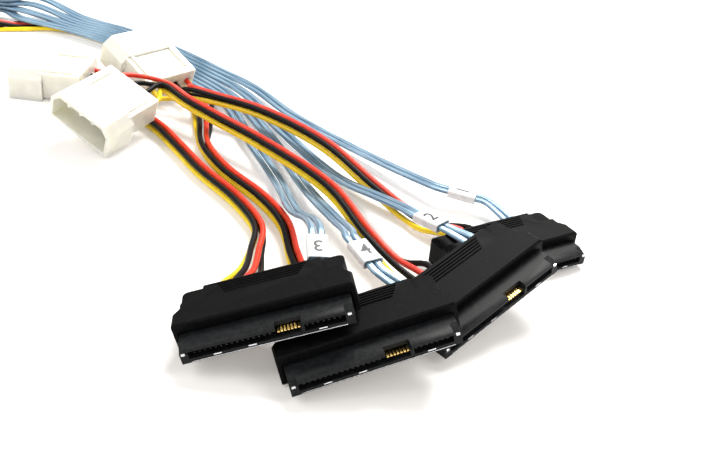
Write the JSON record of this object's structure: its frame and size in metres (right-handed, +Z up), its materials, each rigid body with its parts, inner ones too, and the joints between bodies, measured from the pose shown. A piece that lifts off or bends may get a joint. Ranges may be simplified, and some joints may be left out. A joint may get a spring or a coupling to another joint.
{
  "type": "external sas cable",
  "caption": "Fan-out data cable: round jacket and boot splitting into flat ribbon pairs, each ending in a low drive connector that also takes power wires from a four-pin housing",
  "frame": {"origin": "middle of the flat rest face under the hood of connector 1, which lies flat on the table", "axes": "+Z up; +Y away from the camera of the picture; +X to its right. Connector 1 is turned 33.8 degrees about Z."},
  "size_m": [0.3728, 0.2304, 0.0272],
  "materials": {
    "hood": "fine matt moulding, near black",
    "receptacle": "dark grey moulding",
    "contact": "gold flash",
    "label": "white shrink sleeve",
    "nylon": "milky natural nylon",
    "pin": "bright tin",
    "ribbon": "steel blue film over foil",
    "wire_red": "satin insulation",
    "wire_yellow": "satin insulation",
    "wire_black": "satin insulation",
    "jacket": "matt black jacket",
    "boot": "moulded boot",
    "plug_metal": "plated shell",
    "board": "green board edge"
  },
  "bodies": {
    "root": {"hood_1": "hood", "receptacle_1": "receptacle", "contacts_1": "contact", "power_housing_1": "nylon", "power_pins_1": "pin", "label_sleeve_1": "label", "ribbon_1_a": "ribbon", "ribbon_1_b": "ribbon", "wire_1_yellow": "wire_yellow", "wire_1_black_a": "wire_black", "wire_1_red": "wire_red", "wire_1_black_b": "wire_black", "hood_2": "hood", "receptacle_2": "receptacle", "contacts_2": "contact", "power_housing_2": "nylon", "power_pins_2": "pin", "label_sleeve_2": "label", "ribbon_2_a": "ribbon", "ribbon_2_b": "ribbon", "wire_2_yellow": "wire_yellow", "wire_2_black_a": "wire_black", "wire_2_red": "wire_red", "wire_2_black_b": "wire_black", "hood_3": "hood", "receptacle_3": "receptacle", "contacts_3": "contact", "power_housing_3": "nylon", "power_pins_3": "pin", "label_sleeve_3": "label", "ribbon_3_a": "ribbon", "ribbon_3_b": "ribbon", "wire_3_yellow": "wire_yellow", "wire_3_black_a": "wire_black", "wire_3_red": "wire_red", "wire_3_black_b": "wire_black", "hood_4": "hood", "receptacle_4": "receptacle", "contacts_4": "contact", "power_housing_4": "nylon", "power_pins_4": "pin", "label_sleeve_4": "label", "ribbon_4_a": "ribbon", "ribbon_4_b": "ribbon", "wire_4_yellow": "wire_yellow", "wire_4_black_a": "wire_black", "wire_4_red": "wire_red", "wire_4_black_b": "wire_black", "boot": "boot", "jacket_lead": "jacket", "jacket_coil": "jacket", "jacket_tail": "jacket", "plug_relief": "boot", "plug_body": "plug_metal", "plug_nose": "plug_metal", "plug_board": "board", "plug_latch": "plug_metal"}
  },
  "joints": []
}
